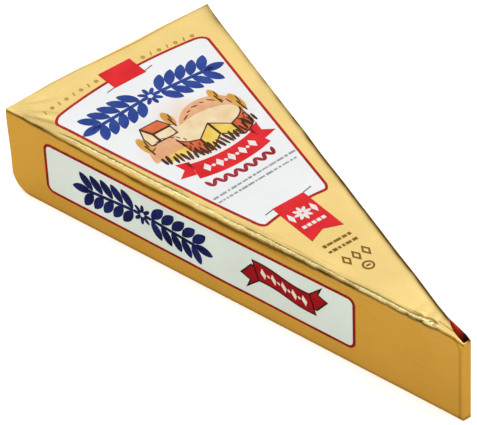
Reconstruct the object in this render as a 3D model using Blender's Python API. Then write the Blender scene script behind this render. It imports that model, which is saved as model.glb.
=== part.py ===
# A foil-wrapped wedge of soft cheese, lying on its flat base.
# Metres, +Z up. X runs from the rind side (low) to the point (high), and the
# origin lies at the middle of the base. The pack is one closed solid: a sector
# with a rounded rind side and crisp folded edges, whose point is open on top.
import math

import bmesh
import bpy
from mathutils import Vector

MM = 0.001

# Driving dimensions
WEDGE_LENGTH = 163.8 * MM    # from the chord of the rind side to the end face
BACK_WIDTH = 75.2 * MM       # across that chord
RIND_RADIUS = 225.0 * MM     # the arc of the rind side in plan
TIP_WIDTH = 3.0 * MM         # the narrow end face of the point
PACK_HEIGHT = 29.8 * MM

# Edges: the foil's folded edges, and the rounded rim of the rind side
FOLD_RADIUS = 1.1 * MM       # along the long top edges
BASE_FOLD_RADIUS = 0.4 * MM
TIP_FOLD_RADIUS = 0.25 * MM
CORNER_FOLD_RADIUS = 0.4 * MM
BASE_RIM_RADIUS = 7.0 * MM
RIND_BATTER = 0.5 * MM       # the rind side stands in by this at its foot
TOP_RIM_RADIUS = 5.0 * MM    # where the top rim is roundest, past mid-width
PINCHED_RIM_RADIUS = 0.5 * MM
RIM_PEAK = 0.18              # place of the roundest rim: -1 near side, +1 far
RIM_SPREAD = 0.52
CORNER_FADE = 14.0 * MM      # from the crisp corners to the soft top folds
EAR_REACH = 0.35 * MM        # the pinched top corners stand out by this
EAR_FADE = 5.0 * MM

# The far side bends near the point, where the foil is pressed together
FAR_BEND = 149.5 * MM        # from the chord
FAR_BEND_WIDTH = 3.2 * MM    # half width at the bend

# The near side leans inwards at the top of the point
LEAN_START = 147.0 * MM
LEAN_PEAK = 157.5 * MM
LEAN_DEPTH = 0.9 * MM
LEAN_END_DEPTH = 0.1 * MM
LEAN_HEIGHT = 9.0 * MM       # how far down the wall the lean reaches

# The open slot behind the end face. It widens from the far side's inner face
# towards the end, and the end face's rim dips
SLOT_START = 153.2 * MM
SLOT_WALL = 0.4 * MM
SLOT_DEPTH = 9.0 * MM
SLOT_NEAR_END = -0.48 * MM   # the slot's near side at the end, from the middle
SLOT_CUTTER_ROWS = 6
END_DIP = 0.9 * MM
END_DIP_LENGTH = 2.4 * MM

# Creases that run over the top from the pinched near corner
CREASE_DIRECTIONS = (4.0, 17.0, 31.0)   # degrees from the X axis
CREASE_DEPTH = 0.32 * MM
CREASE_WIDTH = 1.5 * MM
CREASE_LENGTH = 24.0 * MM
CREASE_ROOT = 0.4            # share of the width at the corner

# Crumpled end of the top sheet, just before the slot
CRUMPLE_START = 141.0 * MM
CRUMPLE_DEPTH = 0.6 * MM
CRUMPLE_WAVE = 5.2 * MM
CRUMPLE_SLANT = 1.2          # radians of the wave for each millimetre across

# Soft dents in the long top edges
EDGE_DENT_DEPTH = 0.35 * MM
EDGE_DENT_WAVES = (23.0 * MM, 37.0 * MM)
EDGE_DENT_LAG = 1.0          # radians by which the second wave lags
EDGE_DENT_REACH = 7.0 * MM

# Rows of the mesh, before it is shaped
BODY_ROW_GAP = 5.5 * MM
TIP_ROW_GAP = 1.5 * MM
ROWS_ACROSS = 10
ROWS_UP_THE_MIDDLE = 3
FOLD_ROW_ANGLE = 22.5        # degrees round a fold
RIM_ROW_ANGLES = (32, 20, 9, 0)
WIDEST_FOLD = 0.4            # of the wedge's width, where it is narrow
FLAT = 1e-7                  # metres off the base that still count as on it

CHORD_HALF = BACK_WIDTH / 2
TIP_HALF = TIP_WIDTH / 2
WALL_SLOPE = (CHORD_HALF - TIP_HALF) / WEDGE_LENGTH
WALL_COSINE = math.cos(math.atan(WALL_SLOPE))


def clear_scene():
    for item in list(bpy.data.objects):
        bpy.data.objects.remove(item, do_unlink=True)


def smooth_step(low, high, value):
    t = min(max((value - low) / (high - low), 0.0), 1.0)
    return t * t * (3.0 - 2.0 * t)


def evenly(start, stop, count):
    return [start + (stop - start) * n / count for n in range(count + 1)]


def fold_rows(radius):
    # Two rows inside a fold's radius, which round it in four flats
    return [0.0, radius * (1.0 - math.tan(math.radians(FOLD_ROW_ANGLE))), radius]


def rim_rows(radius):
    return [radius * (1.0 - math.tan(math.radians(angle))) for angle in RIM_ROW_ANGLES]


def rows_along():
    # Distances from the rind side, close together at the rim and at the point
    rows = fold_rows(CORNER_FOLD_RADIUS) + rim_rows(BASE_RIM_RADIUS)
    body_end = CRUMPLE_START
    body_count = round((body_end - BASE_RIM_RADIUS) / BODY_ROW_GAP)
    rows += evenly(BASE_RIM_RADIUS, body_end, body_count)[1:]
    tip_end = WEDGE_LENGTH - TIP_FOLD_RADIUS
    rows += evenly(body_end, tip_end, round((tip_end - body_end) / TIP_ROW_GAP))[1:]
    rows += [WEDGE_LENGTH - d for d in reversed(fold_rows(TIP_FOLD_RADIUS)[:-1])]
    return rows


def rows_up():
    # Heights above the base, close together at both rims
    low = fold_rows(BASE_FOLD_RADIUS) + rim_rows(BASE_RIM_RADIUS)
    high = fold_rows(FOLD_RADIUS) + rim_rows(TOP_RIM_RADIUS)[1:]
    middle = evenly(low[-1], PACK_HEIGHT - high[-1], ROWS_UP_THE_MIDDLE)[1:-1]
    return low + middle + [PACK_HEIGHT - d for d in reversed(high)]


def far_half_width(along):
    straight = CHORD_HALF - (CHORD_HALF - FAR_BEND_WIDTH) * along / FAR_BEND
    slope = (FAR_BEND_WIDTH - TIP_HALF) / (WEDGE_LENGTH - FAR_BEND)
    return max(straight, TIP_HALF + (WEDGE_LENGTH - along) * slope)


def near_half_width(along):
    return CHORD_HALF - WALL_SLOPE * along


def fold_radius(along, height):
    # Softest along the top, crisp at the base, the corners and the point
    from_corner = smooth_step(0.0, CORNER_FADE, along)
    top = CORNER_FOLD_RADIUS + (FOLD_RADIUS - CORNER_FOLD_RADIUS) * from_corner
    top += (TIP_FOLD_RADIUS - top) * smooth_step(LEAN_START, WEDGE_LENGTH, along)
    base = min(BASE_FOLD_RADIUS, top)
    return base + (top - base) * smooth_step(0.0, PACK_HEIGHT, height)


def top_rim_radius(side):
    # The rim is pinched sharp at both corners and rounded between them
    bulge = math.exp(-(((side - RIM_PEAK) / RIM_SPREAD) ** 2))
    return PINCHED_RIM_RADIUS + (TOP_RIM_RADIUS - PINCHED_RIM_RADIUS) * bulge


def place_across(row, last_row, width, radius):
    # Distance from the near side: fold rows at both walls, even rows between
    fold = fold_rows(radius)
    if row < len(fold):
        return fold[row]
    if last_row - row < len(fold):
        return width - fold[last_row - row]
    t = (row - len(fold) + 1) / (last_row - 2 * len(fold) + 2)
    return fold[-1] + (width - 2 * fold[-1]) * t


def round_corner(a, b, radius):
    # Two distances from two faces, moved so that the faces meet in a round.
    # Rings of one depth stay rings, so rows inside a wall follow its outline.
    if a >= radius or b >= radius:
        return a, b, (0.0, 0.0)
    depth = min(a, b)
    va, vb = a - radius, b - radius
    size = math.hypot(va, vb)
    if size == 0.0:
        return a, b, (0.0, 0.0)
    reach = (radius - depth) / size
    return radius + va * reach, radius + vb * reach, (-va / size, -vb / size)


def round_fold(depth, across, radius):
    # The crisp fold between a wall and the skin that runs round it
    if depth >= radius or across >= radius:
        return depth, across
    vd, va = depth - radius, across - radius
    size = math.hypot(vd, va)
    if size == 0.0:
        return depth, across
    return radius + vd * radius / size, radius + va * radius / size


def crease_drop(point):
    corner = Vector((0.0, -CHORD_HALF))
    offset = Vector((point.x, point.y)) - corner
    drop = 0.0
    for degrees in CREASE_DIRECTIONS:
        direction = Vector((math.cos(math.radians(degrees)), math.sin(math.radians(degrees))))
        run = offset.dot(direction)
        side = offset.x * direction.y - offset.y * direction.x
        if 0.0 < run < CREASE_LENGTH:
            fade = math.sin(math.pi * run / CREASE_LENGTH)
            width = CREASE_WIDTH * (CREASE_ROOT + run / CREASE_LENGTH)
            drop += CREASE_DEPTH * fade * math.exp(-((side / width) ** 2))
    return drop


def crumple_drop(point):
    rise = smooth_step(CRUMPLE_START, CRUMPLE_START + CRUMPLE_WAVE, point.x)
    turn = 2 * math.pi * (point.x - CRUMPLE_START) / CRUMPLE_WAVE
    wave = 0.5 + 0.5 * math.sin(turn + CRUMPLE_SLANT * point.y / MM)
    past = 1.0 - smooth_step(SLOT_START - CRUMPLE_WAVE / 2, SLOT_START, point.x)
    return CRUMPLE_DEPTH * rise * wave * past


def edge_dent_drop(point, wall_distance):
    fade = max(0.0, 1.0 - wall_distance / EDGE_DENT_REACH) ** 2
    fade *= smooth_step(0.0, CORNER_FADE, point.x)
    first, second = (2 * math.pi * point.x / length for length in EDGE_DENT_WAVES)
    wave = (math.sin(first) + math.sin(second + EDGE_DENT_LAG)) / 2
    return EDGE_DENT_DEPTH * fade * (1.0 + wave) / 2


def end_dip_drop(point):
    return END_DIP * smooth_step(WEDGE_LENGTH - END_DIP_LENGTH, WEDGE_LENGTH, point.x)


def ear_push(point):
    # The foil's pinched top corners stand out past the walls
    side = -1.0 if point.y < 0 else 1.0
    from_corner = math.hypot(point.x, point.y - side * CHORD_HALF)
    share = max(0.0, 1.0 - from_corner / EAR_FADE) ** 2 * smooth_step(0.0, PACK_HEIGHT, point.z)
    return Vector((-EAR_REACH, side * EAR_REACH, 0.0)) * share


def slot_near_side(along):
    start = far_half_width(SLOT_START) - SLOT_WALL - TIP_FOLD_RADIUS
    t = (along - SLOT_START) / (WEDGE_LENGTH - SLOT_WALL - SLOT_START)
    return SLOT_NEAR_END + (start - SLOT_NEAR_END) * (1.0 - t) ** 2


def lean_inwards(along, height):
    rise = smooth_step(LEAN_START, LEAN_PEAK, along)
    ease = smooth_step(LEAN_PEAK, WEDGE_LENGTH, along)
    depth = rise * (LEAN_DEPTH + (LEAN_END_DEPTH - LEAN_DEPTH) * ease)
    return depth * smooth_step(PACK_HEIGHT - LEAN_HEIGHT, PACK_HEIGHT, height)


def shape_point(along, row_across, last_across, height):
    # One point of the skin, from its rows to its place on the wedge
    width = (near_half_width(along) + far_half_width(along)) * WALL_COSINE
    fold = min(fold_radius(along, height), WIDEST_FOLD * width)
    across = place_across(row_across, last_across, width, fold)
    side = 2 * across / width - 1

    at_back = along < WEDGE_LENGTH / 2
    at_top = height > PACK_HEIGHT / 2
    from_end = along if at_back else WEDGE_LENGTH - along
    from_face = PACK_HEIGHT - height if at_top else height
    if not at_back:
        radius = TIP_FOLD_RADIUS
    elif at_top:
        radius = top_rim_radius(side)
    else:
        radius = BASE_RIM_RADIUS
    depth = min(from_end, from_face)
    from_end, from_face, inwards = round_corner(from_end, from_face, radius)
    if inwards == (0.0, 0.0):
        inwards = (1.0, 0.0) if from_end < from_face else (0.0, 1.0)

    near_side = across < width / 2
    wall = across if near_side else width - across
    new_depth, wall = round_fold(depth, wall, fold)
    from_end += (new_depth - depth) * inwards[0]
    from_face += (new_depth - depth) * inwards[1]

    along = from_end if at_back else WEDGE_LENGTH - from_end
    height = PACK_HEIGHT - from_face if at_top else from_face
    return along, wall, near_side, height


def place_on_wedge(along, wall, near_side, height):
    near, far = near_half_width(along), far_half_width(along)
    if near_side:
        y = -near + wall / WALL_COSINE + lean_inwards(along, height) * max(0.0, 1.0 - wall / near)
    else:
        y = far - wall / WALL_COSINE
    chord_y = CHORD_HALF * (y / near if y < 0 else y / far)
    arc = math.sqrt(RIND_RADIUS ** 2 - chord_y ** 2) - math.sqrt(RIND_RADIUS ** 2 - CHORD_HALF ** 2)
    batter = RIND_BATTER * (1.0 - height / PACK_HEIGHT)
    x = along + (batter - arc) * (1.0 - along / WEDGE_LENGTH)
    point = Vector((x, y, height))
    top_share = smooth_step(PACK_HEIGHT - 4 * FOLD_RADIUS, PACK_HEIGHT - FOLD_RADIUS, height)
    drop = crease_drop(point) + crumple_drop(point) + edge_dent_drop(point, wall)
    point.z -= (drop + end_dip_drop(point)) * top_share
    return point + ear_push(point)


def make_row_block(along, last_across, up):
    # A plain block whose unit cells are the rows of the pack's skin
    mesh = bmesh.new()
    bmesh.ops.create_cube(mesh, size=1.0)
    size = Vector((len(along) - 1, last_across, len(up) - 1))
    bmesh.ops.translate(mesh, vec=(0.5, 0.5, 0.5), verts=mesh.verts)
    bmesh.ops.scale(mesh, vec=size, verts=mesh.verts)
    for axis in range(3):
        edges = [edge for edge in mesh.edges if edge.verts[0].co[axis] != edge.verts[1].co[axis]]
        bmesh.ops.subdivide_edges(mesh, edges=edges, cuts=int(size[axis]) - 1, use_grid_fill=True)
    return mesh


def flatten_base(mesh):
    # The base is one flat face
    base = [face for face in mesh.faces if all(vert.co.z < FLAT for vert in face.verts)]
    bmesh.ops.dissolve_faces(mesh, faces=base, use_verts=True)


def make_skin():
    along, up = rows_along(), rows_up()
    last_across = ROWS_ACROSS + 2 * (len(fold_rows(FOLD_RADIUS)) - 1)
    mesh = make_row_block(along, last_across, up)
    for vert in mesh.verts:
        i, j, k = (round(value) for value in vert.co)
        vert.co = place_on_wedge(*shape_point(along[i], j, last_across, up[k]))
    flatten_base(mesh)
    return mesh


def stand_on_origin(mesh):
    # The box's middle goes over the origin, with the base at zero
    xs = [vert.co.x for vert in mesh.verts]
    ys = [vert.co.y for vert in mesh.verts]
    shift = Vector((-(min(xs) + max(xs)) / 2, -(min(ys) + max(ys)) / 2, 0.0))
    bmesh.ops.translate(mesh, vec=shift, verts=mesh.verts)
    return shift


def make_foil_material():
    material = bpy.data.materials.new("gold_foil")
    material.use_nodes = True
    shader = material.node_tree.nodes["Principled BSDF"]
    shader.inputs["Base Color"].default_value = (0.78, 0.50, 0.12, 1.0)
    shader.inputs["Metallic"].default_value = 0.85
    shader.inputs["Roughness"].default_value = 0.35
    return material


def add_object(name, mesh, material=None):
    data = bpy.data.meshes.new(name)
    mesh.to_mesh(data)
    mesh.free()
    item = bpy.data.objects.new(name, data)
    bpy.context.scene.collection.objects.link(item)
    if material:
        data.materials.append(material)
    return item


def make_slot_cutter(shift):
    # A block bent into the slot's plan, open to above the pack
    mesh = bmesh.new()
    bmesh.ops.create_cube(mesh, size=1.0)
    lengthwise = [edge for edge in mesh.edges if edge.verts[0].co.x != edge.verts[1].co.x]
    bmesh.ops.subdivide_edges(mesh, edges=lengthwise, cuts=SLOT_CUTTER_ROWS - 1, use_grid_fill=True)
    length = WEDGE_LENGTH - SLOT_WALL - SLOT_START
    for vert in mesh.verts:
        along = SLOT_START + length * (vert.co.x + 0.5)
        y = slot_near_side(along) if vert.co.y < 0 else far_half_width(along) - SLOT_WALL
        z = PACK_HEIGHT - SLOT_DEPTH if vert.co.z < 0 else PACK_HEIGHT + FOLD_RADIUS
        vert.co = Vector((along, y, z)) + shift
    cutter = add_object("slot_cutter", mesh)
    cutter.hide_render = True
    cutter.display_type = "WIRE"
    return cutter


def cut_slot(pack, shift):
    cut = pack.modifiers.new("open point", "BOOLEAN")
    cut.operation = "DIFFERENCE"
    cut.solver = "EXACT"
    cut.object = make_slot_cutter(shift)


def main():
    clear_scene()
    skin = make_skin()
    shift = stand_on_origin(skin)
    pack = add_object("foil_pack", skin, make_foil_material())
    pack.data.shade_smooth()
    pack.data.set_sharp_from_angle(angle=math.radians(35))
    cut_slot(pack, shift)


main()
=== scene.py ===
# A wedge of soft cheese in its gold foil wrapper, dressed for a studio picture.
# Shapes are modelled in millimetres and brought to metres as each piece is finished.
import math
import random

import bmesh
import bpy
from mathutils import Matrix, Vector, noise
from mathutils.bvhtree import BVHTree


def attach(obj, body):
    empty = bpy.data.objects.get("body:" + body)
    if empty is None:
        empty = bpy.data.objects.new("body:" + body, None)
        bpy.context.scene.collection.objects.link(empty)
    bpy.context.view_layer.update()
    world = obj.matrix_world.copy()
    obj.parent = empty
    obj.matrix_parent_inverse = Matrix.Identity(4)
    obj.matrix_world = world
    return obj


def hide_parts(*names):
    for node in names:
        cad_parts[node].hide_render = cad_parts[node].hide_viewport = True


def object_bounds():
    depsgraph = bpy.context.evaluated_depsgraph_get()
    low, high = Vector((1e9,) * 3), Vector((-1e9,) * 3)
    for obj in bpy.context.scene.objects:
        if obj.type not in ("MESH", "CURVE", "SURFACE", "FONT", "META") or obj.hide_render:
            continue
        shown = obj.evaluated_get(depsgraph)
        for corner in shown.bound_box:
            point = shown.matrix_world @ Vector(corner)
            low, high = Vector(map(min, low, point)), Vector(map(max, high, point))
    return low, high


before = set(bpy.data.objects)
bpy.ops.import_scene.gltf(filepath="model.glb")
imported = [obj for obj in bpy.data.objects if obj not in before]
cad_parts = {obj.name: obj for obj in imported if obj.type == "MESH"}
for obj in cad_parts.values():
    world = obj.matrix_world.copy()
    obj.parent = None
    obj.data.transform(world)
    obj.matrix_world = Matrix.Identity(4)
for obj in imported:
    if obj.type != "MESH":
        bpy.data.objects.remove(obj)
cadLow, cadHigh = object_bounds()
millimetre = 0.001
print("frame loaded")


# The pack's form, as in the frame, with a straighter far edge and a less sunk end at the point

wedge = {
    "length": 163.8,                 # from the chord of the rind side to the end face
    "backWidth": 75.2,               # across that chord
    "rindRadius": 225.0, "rindBatter": 0.5,
    "tipWidth": 3.0, "height": cadHigh.z / millimetre,
    "baseRim": 7.0, "topRim": 5.0, "pinchedRim": 0.5,
    "rimPeak": 0.18, "rimSpread": 0.52,          # from -1 at the near side to +1 at the far side
    "earReach": 0.35, "earFade": 5.0,
    "farBend": 152.6, "farBendWidth": 2.92,
    "leanStart": 147.0, "leanPeak": 157.5, "leanDepth": 0.9, "leanEndDepth": 0.1, "leanHeight": 9.0,
    "endDip": 0.4, "endDipLength": 2.4,
}
folds = {
    "base": 0.4, "tip": 0.25, "corner": 0.4, "cornerFade": 14.0, "top": 1.1,
    "soft": 2.2, "softPlace": 80.0, "softSpread": 32.0,      # the near top edge at its roundest
    "rows": 5, "widest": 0.4,
}

slot = {"start": 153.2, "wall": 0.4, "depth": 9.0, "nearEnd": -1.05, "rows": 12}

rows = {
    "gap": 0.9, "tipFrom": 138.0, "tipGap": 0.5,
    "across": 78,
    "upGap": 1.1, "edgeDepth": 6.0, "edgeGap": 0.5,
}

chordHalf = wedge["backWidth"] / 2
tipHalf = wedge["tipWidth"] / 2
wallSlope = (chordHalf - tipHalf) / wedge["length"]
wallCosine = math.cos(math.atan(wallSlope))


def smoothStep(low, high, value):
    t = min(max((value - low) / (high - low), 0.0), 1.0)
    return t * t * (3.0 - 2.0 * t)


def bell(middle, spread, value):
    return math.exp(-(((value - middle) / spread) ** 2))


def noiseAt(x, y, z):
    return noise.noise(Vector((x, y, z)))


def evenly(start, stop, gap):
    count = max(1, round(abs(stop - start) / gap))
    return [start + (stop - start) * n / count for n in range(count + 1)]


def foldRows(radius):
    turn = [45.0 * (1.0 - n / folds["rows"]) for n in range(folds["rows"] + 1)]
    return [radius * (1.0 - math.tan(math.radians(angle))) for angle in turn]


def rowsAlong():
    listed = foldRows(folds["corner"])
    listed += evenly(folds["corner"], rows["tipFrom"], rows["gap"])[1:]
    listed += evenly(rows["tipFrom"], wedge["length"] - folds["tip"], rows["tipGap"])[1:]
    return listed + [wedge["length"] - d for d in reversed(foldRows(folds["tip"])[:-1])]


def rowsUp():
    low, high = foldRows(folds["base"]), foldRows(folds["soft"])
    split = wedge["height"] - rows["edgeDepth"]
    middle = evenly(low[-1], split, rows["upGap"])[1:]
    middle += evenly(split, wedge["height"] - high[-1], rows["edgeGap"])[1:-1]
    return low + middle + [wedge["height"] - d for d in reversed(high)]


def farHalfWidth(along):
    straight = chordHalf - (chordHalf - wedge["farBendWidth"]) * along / wedge["farBend"]
    slope = (wedge["farBendWidth"] - tipHalf) / (wedge["length"] - wedge["farBend"])
    return max(straight, tipHalf + (wedge["length"] - along) * slope)


def nearHalfWidth(along):
    return chordHalf - wallSlope * along


def foldRadius(along, height, nearSide):
    fromCorner = smoothStep(0.0, folds["cornerFade"], along)
    top = folds["top"]
    if nearSide:
        top += (folds["soft"] - top) * bell(folds["softPlace"], folds["softSpread"], along)
    top = folds["corner"] + (top - folds["corner"]) * fromCorner
    top += (folds["tip"] - top) * smoothStep(wedge["leanStart"], wedge["length"], along)
    base = min(folds["base"], top)
    return base + (top - base) * smoothStep(0.0, wedge["height"], height)


def topRimRadius(side):
    bulge = bell(wedge["rimPeak"], wedge["rimSpread"], side)
    return wedge["pinchedRim"] + (wedge["topRim"] - wedge["pinchedRim"]) * bulge


def placeAcross(row, lastRow, width, nearFold, farFold):
    near, far = foldRows(nearFold), foldRows(farFold)
    if row < len(near):
        return near[row]
    if lastRow - row < len(far):
        return width - far[lastRow - row]
    t = (row - len(near) + 1) / (lastRow - 2 * len(near) + 2)
    return near[-1] + (width - near[-1] - far[-1]) * t


def roundCorner(a, b, radius, reach):
    # Two distances from two faces, moved so that the faces meet in a round
    va, vb = a - radius, b - radius
    size = math.hypot(va, vb)
    if a >= radius or b >= radius or size == 0.0:
        return a, b, (0.0, 0.0)
    return radius + va * reach / size, radius + vb * reach / size, (-va / size, -vb / size)


def leanInwards(along, height):
    rise = smoothStep(wedge["leanStart"], wedge["leanPeak"], along)
    ease = smoothStep(wedge["leanPeak"], wedge["length"], along)
    depth = rise * (wedge["leanDepth"] + (wedge["leanEndDepth"] - wedge["leanDepth"]) * ease)
    return depth * smoothStep(wedge["height"] - wedge["leanHeight"], wedge["height"], height)


def shapePoint(along, row, lastRow, height):
    # One point of the skin, from its rows to distances along, in from a wall, and up
    width = (nearHalfWidth(along) + farHalfWidth(along)) * wallCosine
    widest = folds["widest"] * width
    nearFold = min(foldRadius(along, height, True), widest)
    farFold = min(foldRadius(along, height, False), widest)
    across = placeAcross(row, lastRow, width, nearFold, farFold)
    side = 2 * across / width - 1

    atBack = along < wedge["length"] / 2
    atTop = height > wedge["height"] / 2
    fromEnd = along if atBack else wedge["length"] - along
    fromFace = wedge["height"] - height if atTop else height
    if not atBack:
        radius = folds["tip"]
    else:
        radius = topRimRadius(side) if atTop else wedge["baseRim"]
    depth = min(fromEnd, fromFace)
    fromEnd, fromFace, inwards = roundCorner(fromEnd, fromFace, radius, radius - depth)
    if inwards == (0.0, 0.0):
        inwards = (1.0, 0.0) if fromEnd < fromFace else (0.0, 1.0)

    nearSide = across < width / 2
    wall = across if nearSide else width - across
    fold = nearFold if nearSide else farFold
    newDepth, wall = roundCorner(depth, wall, fold, fold)[:2]
    fromEnd += (newDepth - depth) * inwards[0]
    fromFace += (newDepth - depth) * inwards[1]
    along = fromEnd if atBack else wedge["length"] - fromEnd
    height = wedge["height"] - fromFace if atTop else fromFace
    return along, wall, nearSide, height


creases = (
    # degrees from the length, out of the near corner; length; depth; width
    (4.0, 24.0, 0.32, 1.5), (17.0, 24.0, 0.32, 1.5), (31.0, 24.0, 0.32, 1.5),
)
creaseRoot = 0.4                     # share of the width added at the corner
crumple = {
    "start": 141.0, "depth": 0.24, "wave": 5.2, "slant": 0.3, "stray": 1.2, "strayWave": (2.6, 2.2),
    "edgeShare": 0.4, "edgeReach": (0.5, 2.5),       # weaker close to the edge
}
rimOut = (
    # across, how far the top rim stands out behind
    (-37.6, 0.8), (-27.0, 0.0), (-15.0, -0.15), (-5.0, 0.2), (5.0, 0.9), (15.0, 0.8), (27.0, 0.45),
    (37.6, 0.7),
)
edgeDents = {"depth": 0.35, "waves": (23.0, 37.0), "lag": 1.0, "reach": 7.0}


def fromTable(table, place, column):
    for first, second in zip(table, table[1:]):
        if place <= second[0]:
            t = max(0.0, (place - first[0]) / (second[0] - first[0]))
            return first[column] + (second[column] - first[column]) * t
    return table[-1][column]


def fanDrop(point, listed, root, bend=0.0):
    # Creases that run out of the near corner, wider and wider, and end softly
    drop = 0.0
    away = Vector((point.x, point.y + chordHalf))
    for degrees, length, depth, width in listed:
        angle = math.radians(degrees)
        run = away.x * math.cos(angle) + away.y * math.sin(angle)
        aside = away.x * math.sin(angle) - away.y * math.cos(angle) + bend * run / length
        if 0.0 < run < length:
            fade = math.sin(math.pi * run / length)
            drop += depth * fade * bell(0.0, width * (root + run / length), aside)
    return drop


def crumpleDrop(point, wall):
    start, wave = crumple["start"], crumple["wave"]
    rise = smoothStep(start, start + wave, point.x)
    turn = 2 * math.pi * (point.x - start) / wave
    strayAlong, strayAcross = crumple["strayWave"]
    stray = crumple["stray"] * noiseAt(point.x / strayAlong, point.y / strayAcross, 4.0)
    lift = 0.5 + 0.5 * math.sin(turn + crumple["slant"] * point.y + stray)
    past = 1.0 - smoothStep(slot["start"] - wave / 2, slot["start"], point.x)
    calm = crumple["edgeShare"] + (1.0 - crumple["edgeShare"]) * smoothStep(*crumple["edgeReach"], wall)
    return crumple["depth"] * rise * lift * past * calm


def edgeDentDrop(point, wall):
    fade = max(0.0, 1.0 - wall / edgeDents["reach"]) ** 2
    fade *= smoothStep(0.0, folds["cornerFade"], point.x)
    first, second = (2 * math.pi * point.x / length for length in edgeDents["waves"])
    wave = (math.sin(first) + math.sin(second + edgeDents["lag"])) / 2
    return edgeDents["depth"] * fade * (1.0 + wave) / 2


def earPush(point):
    side = -1.0 if point.y < 0 else 1.0
    away = math.hypot(point.x, point.y - side * chordHalf)
    share = max(0.0, 1.0 - away / wedge["earFade"]) ** 2
    share *= smoothStep(0.0, wedge["height"], point.z)
    return Vector((-wedge["earReach"], side * wedge["earReach"], 0.0)) * share


def rimMove(point):
    # The foil's rim runs straighter than the cheese under it
    share = smoothStep(10.0, wedge["height"], point.z) * (1.0 - smoothStep(2.0, 12.0, point.x))
    return Vector((-1.0, 0.0, 0.0)) * fromTable(rimOut, point.y, 1) * share


def placeOnWedge(along, wall, nearSide, height):
    near, far = nearHalfWidth(along), farHalfWidth(along)
    if nearSide:
        lean = leanInwards(along, height) * max(0.0, 1.0 - wall / near)
        y = -near + wall / wallCosine + lean
    else:
        y = far - wall / wallCosine
    chordY = chordHalf * (y / near if y < 0 else y / far)
    arc = math.sqrt(wedge["rindRadius"] ** 2 - chordY ** 2)
    arc -= math.sqrt(wedge["rindRadius"] ** 2 - chordHalf ** 2)
    batter = wedge["rindBatter"] * (1.0 - height / wedge["height"])
    x = along + (batter - arc) * (1.0 - along / wedge["length"])
    point = Vector((x, y, height))
    fold = folds["top"]
    topShare = smoothStep(wedge["height"] - 4 * fold, wedge["height"] - fold, height)
    drop = fanDrop(point, creases, creaseRoot) + crumpleDrop(point, wall) + edgeDentDrop(point, wall)
    drop += wedge["endDip"] * smoothStep(wedge["length"] - wedge["endDipLength"], wedge["length"], x)
    point.z -= drop * topShare
    return point + earPush(point)


# The foil's own small folds, pressed into that form

relief = {
    "topFacing": (0.55, 0.95), "wallFacing": (0.35, 0.8),
    "topSag": 0.27, "sagReach": 5.5, "quickFrom": (4.0, 9.0),
    "nearEdge": (4.0, 30.0), "nearEdgeEnd": (150.0, 156.0), "streakEnd": (105.0, 130.0),
    "slowWave": 19.0, "slowDepth": 0.10,
    "quickWave": 6.5, "quickDepth": 0.02,
    "fineRoot": 0.35, "fineStray": 1.1, "fineWave": 6.0,
    "wallWave": 13.0, "wallDepth": 0.10, "wallStretch": 0.35, "wallSunk": 0.7,
    "grooveHeight": 2.6, "grooveWidth": 0.8, "grooveDepth": 0.35,
    "groovePlace": 80.0, "grooveSpread": 30.0, "grooveWobble": 0.35,
    "lineDepth": 0.14,
    "tipCrease": 162.5, "tipCreaseTurn": 2.6, "tipCreaseWidth": 0.35, "tipCreaseDepth": 0.10,
    "crestPlace": 1.1, "crestWidth": 0.75, "crestHeight": 0.12,
    "hollowPlace": 2.6, "hollowWidth": 0.7, "hollowDepth": 0.06,
    "puckerWave": 1.6, "puckerDepth": 0.16, "puckerPlace": 1.6, "puckerWidth": 1.3,
    "streakPlace": 2.8, "streakWidth": 1.6, "facetHighlight": 3.6,
    "farEdgePlace": 0.3, "farEdgeWidth": 1.15, "farCornerWidth": 6.5,
    "seamWidth": 0.7, "seamSlope": 0.05, "seamDepth": 0.16, "wrinkleDepth": 0.12, "tucks": (28.0, 139.0),
    "margin": 0.01,
    "printRoom": 0.17,               # the top stays this much lower under the tab at the rim
    "pleats": 13, "pleatDepth": 0.16, "pleatWidth": 0.15,
}
paintedShadeStrength = {
    # how much painted shade each kind of fold puts on the gold
    "fineCrease": 1.9, "crease": 0.5, "streak": 0.4, "hollow": 0.16, "dent": 2.6, "farEdge": 1.7,
    "farCorner": 0.16, "groove": 0.4, "edgeLine": 1.2, "tipCrease": 0.42, "pleat": 0.35, "foot": 0.7,
    "seam": 0.6, "wrinkle": 0.35,
}
fineCreases = (
    # as the creases above
    (6.0, 15.0, 0.10, 0.5), (11.0, 25.0, 0.15, 0.6), (19.5, 12.0, 0.09, 0.4), (27.0, 21.0, 0.16, 0.7),
    (38.0, 13.0, 0.08, 0.5), (46.0, 19.0, 0.14, 0.6), (59.0, 9.0, 0.10, 0.5), (72.0, 16.0, 0.13, 0.6),
    (84.0, 11.0, 0.10, 0.5),
)
edgeLine = (
    # along, height of the fold line on the near wall, which takes painted shade, half its width
    (0.0, 28.9, 0.36), (12.0, 28.7, 0.42), (22.0, 28.4, 0.44), (36.0, 27.9, 0.5), (50.0, 27.4, 0.68),
    (65.0, 27.8, 0.7), (80.0, 27.9, 0.7), (95.0, 28.5, 0.66), (110.0, 28.9, 0.5), (122.0, 29.1, 0.4),
    (134.0, 29.1, 0.3), (150.0, 29.0, 0.34), (158.0, 28.6, 0.26), (165.0, 28.6, 0.2),
)
tipFacets = (
    # along, in from the near edge, length, width, height
    (149.6, 1.5, 2.8, 1.25, 0.52), (142.6, 0.9, 1.6, 0.5, 0.18), (153.4, 1.2, 1.2, 0.5, -0.26),
    (146.6, 2.7, 1.1, 0.6, -0.22), (145.2, 3.0, 2.6, 0.5, -0.14),
)


def facetPush(along, aside):
    return sum(height * math.exp(-((along - place) / length) ** 2 - ((aside - inFrom) / width) ** 2)
               for place, inFrom, length, width, height in tipFacets)


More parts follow.
